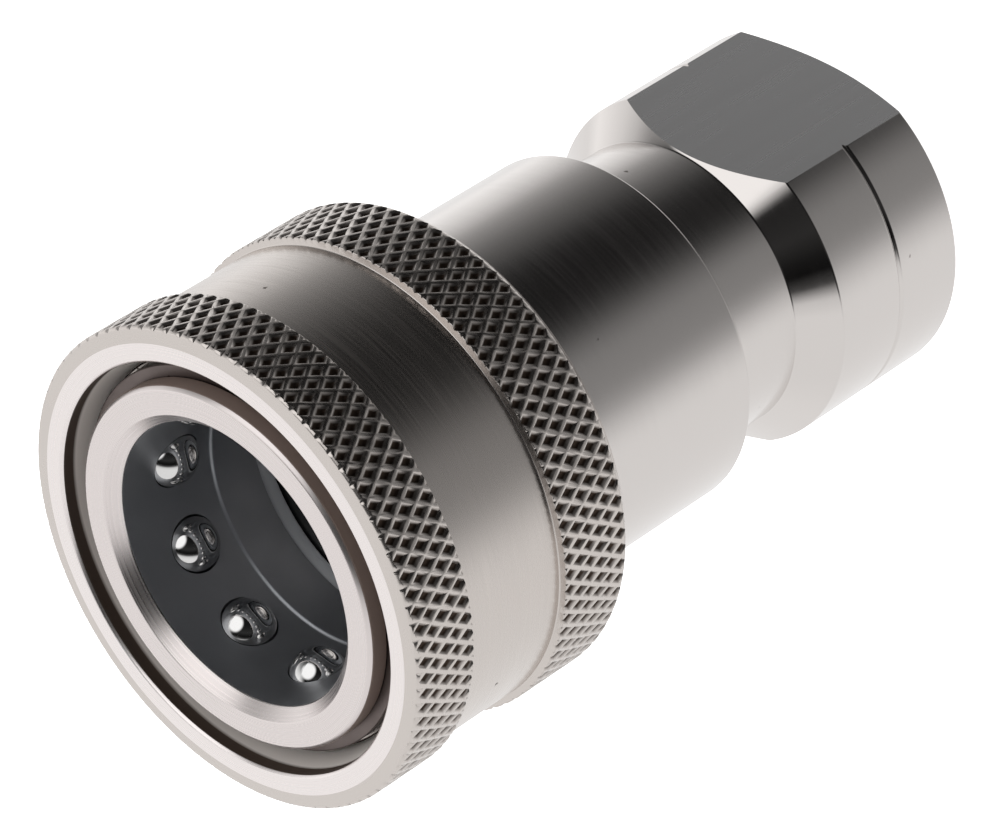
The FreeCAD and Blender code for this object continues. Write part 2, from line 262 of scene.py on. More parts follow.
def pick(piece, kind, test):
    """Selects the vertices, edges or faces of the open mesh for which test is true."""
    bpy.ops.mesh.select_mode(type={"verts": "VERT", "edges": "EDGE", "faces": "FACE"}[kind])
    bpy.ops.mesh.select_all(action="DESELECT")
    mesh = bmesh.from_edit_mesh(piece.data)
    for element in getattr(mesh, kind):
        if test(element):
            element.select_set(True)
    mesh.select_flush_mode()
    bmesh.update_edit_mesh(piece.data)


def radius(point):
    """Distance of a point from the axis."""
    return math.hypot(point.x, point.y)


def corner_turn(vertex):
    """How far an outline turns at a vertex, or nothing at its ends."""
    if len(vertex.link_edges) != 2:
        return 0
    a, b = (edge.other_vert(vertex).co - vertex.co for edge in vertex.link_edges)
    return math.pi - a.angle(b)


def new_piece(name, shape):
    """A new object at the origin that holds a mesh or a curve."""
    piece = bpy.data.objects.new(name, shape)
    bpy.context.scene.collection.objects.link(piece)
    piece.data.materials.clear()
    return piece


def basic_shape(add, **settings):
    """Adds a basic shape and leaves its object at the origin, unturned and unscaled."""
    bpy.ops.object.select_all(action="DESELECT")
    add(**settings)
    bpy.ops.object.transform_apply(location=True, rotation=True, scale=True)
    return bpy.context.object


def face_outward():
    """Turns all faces of the open mesh outward."""
    bpy.ops.mesh.select_all(action="SELECT")
    bpy.ops.mesh.normals_make_consistent(inside=False)


def turned(name, node, edge_break, start=SECTION_TURN, sweep=2 * math.pi, reshape=None):
    """A lathe-turned piece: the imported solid's section, with its corners broken, spun about the axis."""
    piece = new_piece(name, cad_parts[node].data.copy())
    out = Vector((math.cos(start), math.sin(start), 0))
    along = Vector((-out.y, out.x, 0))
    edit(piece)
    bpy.ops.mesh.remove_doubles(threshold=WELD)
    bpy.ops.mesh.customdata_custom_splitnormals_clear()
    for normal, both in ((out, False), (along, True)):
        bpy.ops.mesh.bisect(plane_co=(0, 0, 0), plane_no=normal, clear_inner=True, clear_outer=both)
        bpy.ops.mesh.select_all(action="SELECT")
    bpy.ops.mesh.dissolve_limited(angle_limit=SECTION_FLAT)
    if reshape:
        reshape(piece)
    pick(piece, "verts", lambda v: corner_turn(v) > CORNER)
    bpy.ops.mesh.bevel(offset=edge_break, segments=CORNER_STEPS, affect="VERTICES", clamp_overlap=True)
    bpy.ops.mesh.select_all(action="SELECT")
    steps = round(TURN_STEPS * sweep / (2 * math.pi))
    bpy.ops.mesh.spin(steps=steps, angle=sweep, center=(0, 0, 0), axis=(0, 0, 1))
    bpy.ops.mesh.select_all(action="SELECT")
    bpy.ops.mesh.remove_doubles(threshold=WELD)
    bpy.ops.mesh.fill_holes(sides=0)
    face_outward()
    leave_edit()
    return piece


def cut(piece, tool):
    """Cuts one mesh with another, which is used up."""
    only(piece)
    bpy.ops.object.modifier_add(type="BOOLEAN")
    boolean = piece.modifiers[-1]
    boolean.operation = "DIFFERENCE"
    boolean.solver = "EXACT"
    boolean.object = tool
    bpy.ops.object.modifier_apply(modifier=boolean.name)
    bpy.data.objects.remove(tool)


def joined(parts):
    """Makes several objects one object."""
    only(parts[0])
    for part in parts:
        part.select_set(True)
    bpy.ops.object.join()
    return parts[0]


def polished_shading(piece, crease=CREASE):
    """Smooth shading that lets the broad faces keep their own direction beside broken edges."""
    only(piece)
    bpy.ops.object.shade_smooth_by_angle(angle=crease)
    bpy.ops.object.modifier_add(type="WEIGHTED_NORMAL")
    piece.modifiers[-1].keep_sharp = True
    bpy.ops.object.modifier_apply(modifier=piece.modifiers[-1].name)


def mount(piece, body, slot, *nodes):
    """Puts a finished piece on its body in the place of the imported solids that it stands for."""
    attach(piece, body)
    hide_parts(*nodes)


# Materials

def add_node(tree, kind, inputs=None, **settings):
    """Adds a shader node with its settings, and sets or links its inputs."""
    made = tree.nodes.new(kind)
    for name, value in settings.items():
        setattr(made, name, value)
    for name, value in (inputs or {}).items():
        if isinstance(value, bpy.types.NodeSocket):
            tree.links.new(value, made.inputs[name])
        else:
            made.inputs[name].default_value = value
    return made


def new_material(name, base, metallic, roughness):
    """A named material with its principled shader, its tree and the piece's own coordinates."""
    made = bpy.data.materials.new(name)
    made.use_nodes = True
    tree = made.node_tree
    shader = tree.nodes["Principled BSDF"]
    shader.inputs["Base Color"].default_value = (*base, 1)
    shader.inputs["Metallic"].default_value = metallic
    shader.inputs["Roughness"].default_value = roughness
    place = add_node(tree, "ShaderNodeTexCoord").outputs["Object"]
    return made, tree, shader, place


def tool_marks(tree, shader, marks, smooth, rough, bump):
    """Lets a pattern of tool marks change the roughness and stand out a little."""
    spread = add_node(tree, "ShaderNodeMapRange", {
        "Value": marks, "From Min": NOISE_LOW, "From Max": NOISE_HIGH, "To Min": smooth, "To Max": rough})
    tree.links.new(spread.outputs["Result"], shader.inputs["Roughness"])
    relief = add_node(tree, "ShaderNodeBump", {"Height": marks, "Strength": bump, "Distance": MARK_RELIEF})
    tree.links.new(relief.outputs["Normal"], shader.inputs["Normal"])


def mottle(tree, shader, place, patch, detail, smooth, rough, low=0.0, high=1.0):
    """Lets the roughness wander in patches of a given size, and returns their pattern."""
    cloud = add_node(tree, "ShaderNodeTexNoise", {"Vector": place, "Scale": 1 / patch, "Detail": detail})
    spread = add_node(tree, "ShaderNodeMapRange", {
        "Value": cloud.outputs["Fac"], "From Min": low, "From Max": high, "To Min": smooth, "To Max": rough})
    tree.links.new(spread.outputs["Result"], shader.inputs["Roughness"])
    return cloud.outputs["Fac"]


def machined_steel(name, base, roughness, groove, streak, bump):
    """Stainless steel off a machine: a satin mirror with fine tool marks and a few dark nicks."""
    made, tree, shader, place = new_material(name, base, 1.0, roughness)
    ragged = add_node(tree, "ShaderNodeTexNoise", {"Vector": place, "Scale": 1 / NICK_SIZE})
    shifted = add_node(tree, "ShaderNodeVectorMath", {
        0: ragged.outputs["Color"], 1: (NICK_RAGGED,) * 3, 2: place}, operation="MULTIPLY_ADD")
    nicks = add_node(tree, "ShaderNodeTexVoronoi", {
        "Vector": shifted.outputs["Vector"], "Scale": 1 / NICK_SPACING})
    nick = add_node(tree, "ShaderNodeMapRange", {
        "Value": nicks.outputs["Distance"], "From Min": NICK_CORE * NICK_SIZE / NICK_SPACING,
        "From Max": NICK_SIZE / NICK_SPACING, "To Min": 1.0, "To Max": 0.0})
    tone = add_node(tree, "ShaderNodeMix", {
        "Factor": nick.outputs["Result"], MIX_A: (*base, 1), MIX_B: (*colours().grime_and_shade, 1)}, data_type="RGBA")
    tree.links.new(tone.outputs[MIX_RESULT], shader.inputs["Base Color"])
    stretched = add_node(tree, "ShaderNodeVectorMath", {0: place, 1: streak}, operation="MULTIPLY")
    marks = add_node(tree, "ShaderNodeTexNoise", {
        "Vector": stretched.outputs["Vector"], "Scale": 1 / groove, "Detail": 3.0, "Roughness": 0.6})
    tool_marks(tree, shader, marks.outputs["Fac"], roughness * MARK_SMOOTH, roughness * MARK_ROUGH, bump)
    return made


def turned_steel(name, roughness=0.18, groove=0.25 * MM, bump=0.2):
    """Stainless steel off a lathe, with its tool marks round the axis."""
    return machined_steel(name, colours().turned_steel, roughness, groove, TURNED_STREAK, bump)


def grime_and_shade_in_pits(material):
    """Old oil, dust and painted shade in the knurl: the pits go a dull brown black, the crests stay bare."""
    tree = material.node_tree
    shader = tree.nodes["Principled BSDF"]
    bare = shader.inputs["Base Color"].links[0].from_socket
    satin = shader.inputs["Roughness"].links[0].from_socket
    pit = add_node(tree, "ShaderNodeAttribute", attribute_name="pit").outputs["Fac"]
    share = add_node(tree, "ShaderNodeMapRange", {"Value": pit, "From Min": PIT_BARE, "From Max": PIT_FULL})
    share = share.outputs["Result"]
    # painted shade together with real oil and dust: the deeper a point lies in a pit, the darker its colour
    tone = add_node(tree, "ShaderNodeMix", {
        "Factor": share, MIX_A: bare, MIX_B: (*colours().grime_and_shade, 1)}, data_type="RGBA")
    tree.links.new(tone.outputs[MIX_RESULT], shader.inputs["Base Color"])
    dull = add_node(tree, "ShaderNodeMix", {
        "Factor": share, "A": satin, "B": GRIME_ROUGHNESS}, data_type="FLOAT")
    tree.links.new(dull.outputs["Result"], shader.inputs["Roughness"])


def faced_steel(name, base):
    """Stainless steel faced on a lathe: bright, with fine rings about the axis; on the sleeve's rim the
    brightness is a painted highlight.
    """
    made, tree, shader, place = new_material(name, base, metallic=1.0, roughness=0.28)
    level = add_node(tree, "ShaderNodeVectorMath", {0: place, 1: (1, 1, 0)}, operation="MULTIPLY")
    out = add_node(tree, "ShaderNodeVectorMath", {0: level.outputs["Vector"]}, operation="LENGTH")
    rings = add_node(tree, "ShaderNodeTexNoise", {
        "W": out.outputs["Value"], "Scale": 1 / FACING_FEED, "Detail": 2.0}, noise_dimensions="1D")
    tool_marks(tree, shader, rings.outputs["Fac"], smooth=0.24, rough=0.34, bump=0.15)
    return made


def painted_gap_wall():
    """Steel behind the rim, painted with its reflection: dark brown near the front, pale further in."""
    made, tree, shader, place = new_material(
        "oiled stainless steel, rim", colours().film, metallic=0.0, roughness=0.5)
    height = add_node(tree, "ShaderNodeSeparateXYZ", {"Vector": place}).outputs["Z"]
    edge = SLEEVE_HIGH.z - WALL_SHADE
    share = add_node(tree, "ShaderNodeMapRange", {
        "Value": height, "From Min": edge - WALL_FADE, "From Max": edge + WALL_FADE})
    # painted reflection: dark brown near the rim's front face, pale further into the gap
    tone = add_node(tree, "ShaderNodeMix", {
        "Factor": share.outputs["Result"], MIX_A: (*colours().painted_highlight, 1), MIX_B: (*colours().grime_and_shade, 1)},
        data_type="RGBA")
    tree.links.new(tone.outputs[MIX_RESULT], shader.inputs["Base Color"])
    return made


def oil_film():
    """Old oil on the steel in the gap: a dull brown with cloudy sheen."""
    made, tree, shader, place = new_material(
        "oiled stainless steel, nose", colours().film, metallic=0.2, roughness=0.5)
    mottle(tree, shader, place, patch=1.5 * MM, detail=3.0, smooth=0.4, rough=0.6)
    return made


def bored_steel_painted_shade():
    """Stainless steel bored and left oily: a dull dark grey that mirrors little; the dark grey is painted
    shade in the bore.
    """
    made, tree, shader, place = new_material(
        "bored stainless steel", colours().bored_steel_painted_shade, metallic=1.0, roughness=0.45)
    mottle(tree, shader, place, patch=2 * MM, detail=3.0, smooth=0.38, rough=0.55)
    return made


def lapped_steel():
    """Bearing steel lapped to a mirror, with the faint cloudy wear of use."""
    made, tree, shader, place = new_material(
        "lapped bearing steel", colours().ball_steel, metallic=1.0, roughness=0.06)
    mottle(tree, shader, place, patch=0.8 * MM, detail=4.0, smooth=0.04, rough=0.12, low=0.35, high=0.75)
    return made


def ptfe():
    """Skived PTFE: a milky, waxy white with a soft sheen."""
    made, tree, shader, place = new_material("PTFE", colours().white_ptfe, metallic=0.0, roughness=0.4)
    mottle(tree, shader, place, patch=1.5 * MM, detail=2.0, smooth=0.32, rough=0.5)
    return made


def rubber():
    """Moulded nitrile rubber: near black with a dull, faintly mottled sheen."""
    made, tree, shader, place = new_material(
        "nitrile rubber", colours().seal_rubber, metallic=0.0, roughness=0.5)
    grain = mottle(tree, shader, place, patch=0.3 * MM, detail=2.0, smooth=0.38, rough=0.62)
    relief = add_node(tree, "ShaderNodeBump", {"Height": grain, "Strength": 0.2, "Distance": RUBBER_RELIEF})
    tree.links.new(relief.outputs["Normal"], shader.inputs["Normal"])
    return made


def dress(piece, material):
    """Gives a piece one material all over."""
    piece.data.materials.clear()
    piece.data.materials.append(material)


def dress_faces(piece, material, test):
    """Gives another material to the faces whose centre and direction pass a test."""
    piece.data.materials.append(material)
    index = len(piece.data.materials) - 1
    for face in piece.data.polygons:
        if test(face.center, face.normal):
            face.material_index = index


# Pieces

def sleeve_bands():
    """Heights of each knurled band: its lower land, its knurl and its upper land."""
    full = SLEEVE_HIGH.x - LAND_STEP
    heights = sorted({round(v.co.z, 6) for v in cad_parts["locking_sleeve"].data.vertices
                      if radius(v.co) > full})
    return heights[:4], heights[-4:]


def level_bands(piece):
    """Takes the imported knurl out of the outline, makes its steps steep and rounds its rear edge."""
    rear, front = sleeve_bands()
    middle = (rear[3] + front[0]) / 2
    grow = (middle - rear[3] - STEP_LEAN) / (middle - rear[3] - STEP_FOOT)

    def knurled(v):
        within = any(band[0] + WELD < v.co.z < band[3] - WELD for band in (rear, front))
        return within and radius(v.co) > SLEEVE_HIGH.x - KNURL_ROOM

    def plain(v):
        return rear[3] + WELD < v.co.z < front[0] - WELD and radius(v.co) > BAND_LEAST

    def rear_edge(v):
        return abs(v.co.z - rear[0]) < WELD and radius(v.co) > BAND_LEAST

    pick(piece, "verts", knurled)
    bpy.ops.mesh.dissolve_verts()
    pick(piece, "verts", plain)
    bpy.ops.transform.resize(value=(1, 1, grow), center_override=(0, 0, middle))
    pick(piece, "verts", rear_edge)
    bpy.ops.mesh.bevel(offset=REAR_ROUND, segments=REAR_STEPS, affect="VERTICES", clamp_overlap=True)


def step_wall(piece):
    """Gives the rim's inner wall its sloping step down to the snap ring."""
    front = [v.co.copy() for v in bmesh.from_edit_mesh(piece.data).verts
             if SLEEVE_HIGH.z - GAP_DEPTH < v.co.z < SLEEVE_HIGH.z - WELD and radius(v.co) < RIM_LEAST]
    wall = max(radius(p) for p in front if p.z < SLEEVE_HIGH.z - WALL_STEP)
    heights = [p.z for p in front if abs(radius(p) - wall) < TOUCH]
    floor, top = min(heights), max(heights)
    half = (top + floor) / 2
    shrink = (wall - WALL_LEDGE) / wall

    def on_wall(v):
        return abs(radius(v.co) - wall) < TOUCH

    pick(piece, "edges", lambda e: all(on_wall(v) and v.co.z > floor - WELD for v in e.verts))
    bpy.ops.mesh.subdivide(number_cuts=1)
    pick(piece, "verts", lambda v: on_wall(v) and v.co.z < floor + TOUCH)
    bpy.ops.transform.resize(value=(shrink, shrink, 1), center_override=(0, 0, floor))
    pick(piece, "verts", lambda v: on_wall(v) and abs(v.co.z - half) < TOUCH)
    bpy.ops.transform.translate(value=(0, 0, SLEEVE_HIGH.z - WALL_STEP - half))


def finish_sleeve_outline(piece):
    """Gives the sleeve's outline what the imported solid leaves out."""
    level_bands(piece)
    step_wall(piece)


def knurl_cutter(band):
    """A tube whose bore carries a boss for each pit of the knurl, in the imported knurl's rows."""
    s = sizes()
    surface = SLEEVE_HIGH.x
    half = s.knurl_pitch / 2
    rows = int((band[2] - band[1]) / half)
    cells = math.ceil(rows / 2) + 2   # one more at each end
    first = (band[1] + band[2] - rows * half) / 2 - s.knurl_pitch
    middle = first + cells * s.knurl_pitch / 2
    tool = basic_shape(
        bpy.ops.mesh.primitive_cylinder_add, vertices=s.knurl_count, radius=surface + TOOL_GAP,
        depth=cells * s.knurl_pitch, end_fill_type="NOTHING", location=(0, 0, middle),
        rotation=(0, 0, math.pi / 2))

    def rise(e):
        return abs(e.verts[0].co.z - e.verts[1].co.z)

    def first_grid(e):
        return len(e.link_faces) == 2 and (rise(e) < WELD or rise(e) > half + WELD)

    edit(tool)
    pick(tool, "edges", lambda e: rise(e) > WELD)
    bpy.ops.mesh.subdivide(number_cuts=cells - 1)
    bpy.ops.mesh.select_all(action="SELECT")
    bpy.ops.mesh.poke()
    pick(tool, "edges", first_grid)
    bpy.ops.mesh.dissolve_edges(use_verts=False)
    pick(tool, "faces", lambda f: len(f.verts) == 4)
    above = TOOL_GAP * (s.knurl_shoulder / s.knurl_shoulder_drop)
    for thickness, depth in (
            (s.knurl_ridge / 2 - above, 0),
            (s.knurl_shoulder + above, -TOOL_GAP - s.knurl_shoulder_drop),
            (s.knurl_wall, s.knurl_shoulder_drop - s.knurl_depth)):
        bpy.ops.mesh.inset(thickness=thickness, depth=depth, use_individual=True)
    pick(tool, "edges", lambda e: len(e.link_faces) == 1)
    bpy.ops.mesh.extrude_edges_move()
    grow = (surface + TOOL_WALL) / surface
    bpy.ops.transform.resize(value=(grow, grow, 1), center_override=(0, 0, middle))
    pick(tool, "edges", lambda e: len(e.link_faces) == 1)
    bpy.ops.mesh.bridge_edge_loops()
    face_outward()
    leave_edit()
    return tool


def mark_pits(piece):
    """Keeps each point's depth in the knurl, from 0 on the crest to 1 on the floor of a pit."""
    depth = sizes().knurl_depth
    bands = sleeve_bands()
    pit = piece.data.attributes.new("pit", "FLOAT", "POINT")
    for vertex, value in zip(piece.data.vertices, pit.data):
        sunk = (SLEEVE_HIGH.x - radius(vertex.co)) / depth
        banded = any(band[0] - WELD < vertex.co.z < band[3] + WELD for band in bands)
        value.value = min(sunk, 1) if banded and 0 < sunk < PIT_MOST else 0


def on_the_rim(centre, normal):
    """Whether a face of the sleeve belongs to its front face or the chamfer inside that."""
    outer = SLEEVE_HIGH.x - RIM_CONE
    return normal.z > RIM_FORWARD and radius(centre) < outer and centre.z > SLEEVE_HIGH.z - RIM_DEPTH


def behind_the_rim(centre, normal):
    """Whether a face of the sleeve belongs to the rim's inner wall."""
    inner = SLEEVE_HIGH.x - RIM_CONE - RIM_FACE
    return normal.z < RIM_FORWARD and radius(centre) < inner and centre.z > SLEEVE_HIGH.z - GAP_DEPTH


class SleevePiece(bpy.types.Operator):
    """Turns the locking sleeve and cuts its two knurled bands"""

    bl_idname = "coupling.locking_sleeve"
    bl_label = "Locking sleeve"

    def execute(self, context):
        piece = turned("knurled_sleeve", "locking_sleeve", sizes().edge_break, reshape=finish_sleeve_outline)
        for band in sleeve_bands():
            cut(piece, knurl_cutter(band))
        mark_pits(piece)
        polished_shading(piece, KNURL_CREASE)
        steel = machined_steel(
            "satin stainless steel", colours().sleeve_steel, roughness=0.26, groove=0.25 * MM,
            streak=TURNED_STREAK, bump=0.25)
        grime_and_shade_in_pits(steel)
        dress(piece, steel)
        # painted highlight: the rim's front face gets a lighter steel than the rest of the sleeve, with real
        # facing rings
        dress_faces(piece, faced_steel("faced stainless steel, rim", colours().faced_steel), on_the_rim)
        dress_faces(piece, painted_gap_wall(), behind_the_rim)
        mount(piece, "sleeve", "sleeve_steel", "locking_sleeve")
        return {"FINISHED"}


def ball_hole_cutter():
    """A stepped radial drill for one ball hole: the wide bore, then the lip that stops the ball."""
    s = sizes()
    ball = (BALL_HIGH.z - BALL_LOW.z) / 2
    step = s.mouth_bore + s.ball_lip_height
    tool = basic_shape(
        bpy.ops.mesh.primitive_cylinder_add, vertices=DRILL_STEPS, radius=ball + s.ball_hole_gap,
        depth=DRILL_REACH - step, location=((DRILL_REACH + step) / 2, 0, BALL_MID.z),
        rotation=(0, math.pi / 2, 0))
    edit(tool)
    pick(tool, "faces", lambda f: f.normal.x < -SQUARE)
    bpy.ops.mesh.inset(thickness=s.ball_lip)
    bpy.ops.mesh.extrude_region_move(TRANSFORM_OT_translate={"value": (-DRILL_POINT, 0, 0)})
    leave_edit()
    return tool


def round_the_axis(part, turns):
    """Copies a part to each angle about the axis, every copy with its own mesh, and joins them."""
    copies = []
    for turn in turns:
        copy = new_piece(part.name + "_copy", part.data.copy())
        copy.data.transform(Matrix.Rotation(turn, 4, "Z"))
        copies.append(copy)
    bpy.data.objects.remove(part)
    return joined(copies)


def on_the_nose(centre, normal):
    """Whether a face of the body belongs to its front face or the chamfer inside that."""
    return normal.z > NOSE_FORWARD and centre.z > BODY_HIGH.z - NOSE_DEPTH


def round_the_nose(centre, normal):
    """Whether a face of the body belongs to the outside of its nose, in the gap."""
    outside = radius(centre) > sizes().mouth_bore + NOSE_WALL
    return normal.z < NOSE_FORWARD and outside and centre.z > BODY_HIGH.z - GAP_DEPTH


def in_the_bore(centre, normal):
    """Whether a face of the body lies in the bore or in a ball hole."""
    lead_in = normal.z > NOSE_FORWARD and centre.z > BALL_HIGH.z
    if lead_in or not BODY_LOW.z + REAR_DEPTH <= centre.z <= BODY_HIGH.z - NOSE_DEPTH:
        return False
    drilled = abs(centre.z - BALL_MID.z) < BALL_HIGH.z - BALL_MID.z + DRILL_ROOM
    return radius(centre) < (BODY_HIGH.x - DRILL_SKIN if drilled else sizes().mouth_bore + BORE_ROOM)


class BodyPiece(bpy.types.Operator):
    """Turns the socket body and drills its ball holes"""

    bl_idname = "coupling.socket_body"
    bl_label = "Socket body"

    def execute(self, context):
        piece = turned("turned_socket_body", "socket_body", sizes().edge_break)
        turns = [math.atan2(c.y, c.x) for c in (node_size(name)[2] for name in BALLS)]
        cut(piece, round_the_axis(ball_hole_cutter(), turns))
        polished_shading(piece)
        dress(piece, turned_steel("turned stainless steel"))
        dress_faces(piece, faced_steel("faced stainless steel, nose", colours().nose_steel), on_the_nose)
        dress_faces(piece, oil_film(), round_the_nose)
        dress_faces(piece, bored_steel_painted_shade(), in_the_bore)
        mount(piece, "coupler", "stainless_steel", "socket_body")
        return {"FINISHED"}


def wrench_flat():
    """Distance of a wrench flat from the axis, and a height that the flats stay below."""
    top = BODY_LOW.z - FLATS_BELOW
    return max(v.co.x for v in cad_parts["port_adapter"].data.vertices if v.co.z < top), top


def wrench_flat_cutter(side):
    """A block that mills one wrench flat."""
    flat, top = wrench_flat()
    return basic_shape(
        bpy.ops.mesh.primitive_cube_add, size=1, scale=MILL_BLOCK,
        location=(side * (flat + MILL_BLOCK.x / 2), 0, top - MILL_BLOCK.z / 2))


def port_bore():
    """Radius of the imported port's threaded stretch and the heights between which it runs."""
    inner = [v.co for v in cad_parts["port_adapter"].data.vertices if v.co.z < THREAD_ROOM]
    major = min(radius(p) for p in inner if p.z > FACE_ROOM)
    heights = [p.z for p in inner if radius(p) < major + WELD]
    return major, min(heights), max(heights)


def leave_thread_stock(piece):
    """Narrows the bore of the outline to the thread's crests, along its chamfer and its cone."""
    major, low, high = port_bore()
    height = sizes().thread_height
    shrink = (major - height) / major
    for corner in (low, high):
        pick(piece, "verts", lambda v: abs(radius(v.co) - major) < TOUCH and abs(v.co.z - corner) < TOUCH)
        bpy.ops.transform.resize(value=(shrink, shrink, 1), center_override=(0, 0, corner))
        bpy.ops.transform.translate(value=(0, 0, height))


def edge_chain(name, points):
    """An open chain of edges, drawn from one vertex by extruding it from point to point."""
    piece = basic_shape(bpy.ops.mesh.primitive_plane_add, size=MM, location=points[0])
    piece.name = name
    edit(piece)
    bpy.ops.mesh.merge(type="CENTER")
    for a, b in zip(points, points[1:]):
        bpy.ops.mesh.extrude_region_move(TRANSFORM_OT_translate={"value": Vector(b) - Vector(a)})
    leave_edit()
    return piece


def thread_tap():
    """A tap for the port: one pitch of its outline wound up the axis and closed at both ends."""
    pitch = sizes().thread_pitch
    major, low, high = port_bore()
    core = major - sizes().thread_height - TOOL_GAP
    flank = (major - core) * math.tan(THREAD_HALF_ANGLE)
    flat = pitch / 2 - flank
    steps = (0, flat / 2, flat / 2 + flank, 1.5 * flat + flank, 1.5 * flat + 2 * flank, pitch)
    radii = (core, core, major, major, core, core)
    bottom = low - THREAD_SPARE * pitch
    tool = edge_chain("tap", [(r, 0, bottom + z) for r, z in zip(radii, steps)])
    bpy.ops.object.modifier_add(type="SCREW")
    wound = tool.modifiers[-1]
    wound.screw_offset = pitch
    wound.iterations = math.ceil((high - low) / pitch) + THREAD_SPARE
    wound.steps = wound.render_steps = THREAD_STEPS
    bpy.ops.object.modifier_apply(modifier=wound.name)
    edit(tool)
    bpy.ops.mesh.remove_doubles(threshold=WELD)
    for height, up in ((low - pitch, -1), (high - pitch, 1)):
        bpy.ops.mesh.select_all(action="SELECT")
        bpy.ops.mesh.bisect(plane_co=(0, 0, height), plane_no=(0, 0, up), clear_outer=True, use_fill=True)
    face_outward()
    leave_edit()
    return tool


def in_the_cove(centre, normal):
    """Whether a face of the port adapter belongs to the cove between the neck and the flats."""
    return COVE_LEAST < normal.z < COVE_MOST and centre.z < BODY_LOW.z - NECK_RUN


class PortPiece(bpy.types.Operator):
    """Turns the port adapter, taps its port and mills its wrench flats"""

    bl_idname = "coupling.port_adapter"
    bl_label = "Port adapter"

    def execute(self, context):
        piece = turned("turned_port_adapter", "port_adapter", sizes().edge_break, reshape=leave_thread_stock)
        cut(piece, thread_tap())
        for side in (1, -1):
            cut(piece, wrench_flat_cutter(side))
        polished_shading(piece)
        dress(piece, turned_steel("turned stainless steel, port end"))
        cove = turned_steel("polished stainless steel, cove", roughness=0.08, bump=0.1)
        dress_faces(piece, cove, in_the_cove)
        milled = machined_steel(
            "milled stainless steel, wrench flats", colours().milled_steel, roughness=0.24, groove=0.5 * MM,
            streak=MILLED_STREAK, bump=0.12)
        flat = wrench_flat()[0]
        dress_faces(piece, milled, lambda c, n: abs(abs(c.x) - flat) < TOUCH and abs(n.x) > SQUARE)
        mount(piece, "coupler", "stainless_steel", "port_adapter")
        return {"FINISHED"}


class ValvePieces(bpy.types.Operator):
    """Turns the poppet and finishes its guide"""

    bl_idname = "coupling.poppet_valve"
    bl_label = "Poppet valve"

    def execute(self, context):
        piece = turned("turned_poppet", "poppet", sizes().edge_break)
        polished_shading(piece)
        steel = turned_steel("turned stainless steel, valve", roughness=0.2, groove=0.2 * MM)
        dress(piece, steel)
        mount(piece, "poppet", "stainless_steel", "poppet")
        dress(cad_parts["poppet_guide"], steel)
        return {"FINISHED"}


def slot_of(node):
    """Where the widest gap round a split ring ends and how wide it is."""
    around = sorted({round(math.atan2(v.co.y, v.co.x), 4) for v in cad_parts[node].data.vertices})
    gaps = [(b - a, b) for a, b in zip(around, around[1:] + [around[0] + 2 * math.pi])]
    width, end = max(gaps)
    return end, width


class RingPieces(bpy.types.Operator):
    """Forms the split snap rings and the backup ring"""

    bl_idname = "coupling.rings"
    bl_label = "Snap rings and backup ring"

    def execute(self, context):
        steel = machined_steel(
            "spring steel strip", colours().ring_steel, roughness=0.36, groove=0.3 * MM,
            streak=STRIP_STREAK, bump=0.2)
        for node in ("sleeve_retaining_ring", "spring_stop_ring", "guide_retaining_ring"):
            end, width = slot_of(node)
            sweep = 2 * math.pi - width - 2 * RING_MARGIN
            piece = turned(node + "_formed", node, RING_EDGE, end + RING_MARGIN, sweep)
            polished_shading(piece)
            dress(piece, steel)
            mount(piece, "coupler", "spring_steel", node)
        piece = turned("backup_ring_turned", "backup_ring", RING_EDGE)
        polished_shading(piece)
        dress(piece, ptfe())
        mount(piece, "coupler", "white_ptfe", "backup_ring")
        return {"FINISHED"}


class SealPieces(bpy.types.Operator):
    """Finishes the rubber seals"""

    bl_idname = "coupling.seals"
    bl_label = "Seals"

    def execute(self, context):
        black = rubber()
        for node in ("probe_seal", "poppet_seal", "body_seal"):
            dress(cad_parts[node], black)
        return {"FINISHED"}


class BallPieces(bpy.types.Operator):
    """Finishes the locking balls"""

    bl_idname = "coupling.balls"
    bl_label = "Locking balls"

    def execute(self, context):
        steel = lapped_steel()
        for node in BALLS:
            dress(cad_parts[node], steel)
        return {"FINISHED"}


def coil_line(low, high, wire):
    """Centre line of a compression spring: closed end turns and an open middle."""
    mean = high.x - wire / 2
    ground = COIL_GROUND * wire
    start = low.z + wire / 2 - ground
    rise = (high.z - low.z) - wire + 2 * ground
    closed_rise = COIL_CLOSED_RISE * wire
    last = COIL_TURNS - COIL_CLOSED
    points = []
    for i in range(COIL_TURNS * COIL_STEPS + 1):
        turn = i / COIL_STEPS
        if turn < COIL_CLOSED:
            z = closed_rise * turn
        elif turn > last:
            z = rise - closed_rise * (COIL_TURNS - turn)
        else:
            open_rise = rise - 2 * closed_rise * COIL_CLOSED
            z = closed_rise * COIL_CLOSED + open_rise * (turn - COIL_CLOSED) / (last - COIL_CLOSED)
        angle = 2 * math.pi * turn
        points.append((mean * math.cos(angle), mean * math.sin(angle), start + z))
    return points


def coil(name, node, wire):
    """A compression spring wound from round wire, with both ends ground flat."""
    low, high = node_size(node)[:2]
    points = coil_line(low, high, wire)
    curve = bpy.data.curves.new(name, "CURVE")
    curve.dimensions = "3D"
    curve.bevel_depth = wire / 2
    curve.bevel_resolution = WIRE_STEPS
    curve.use_fill_caps = True
    spline = curve.splines.new("POLY")
    spline.points.add(len(points) - 1)
    for point, place in zip(spline.points, points):
        point.co = (*place, 1)
    only(new_piece(name, curve))
    bpy.ops.object.convert(target="MESH")
    piece = bpy.context.object
    edit(piece)
    bpy.ops.mesh.remove_doubles(threshold=WELD)
    face_outward()
    leave_edit()
    for height in (low.z - GRIND_BLOCK / 2, high.z + GRIND_BLOCK / 2):
        cut(piece, basic_shape(bpy.ops.mesh.primitive_cube_add, size=GRIND_BLOCK, location=(0, 0, height)))
    polished_shading(piece)
    return piece


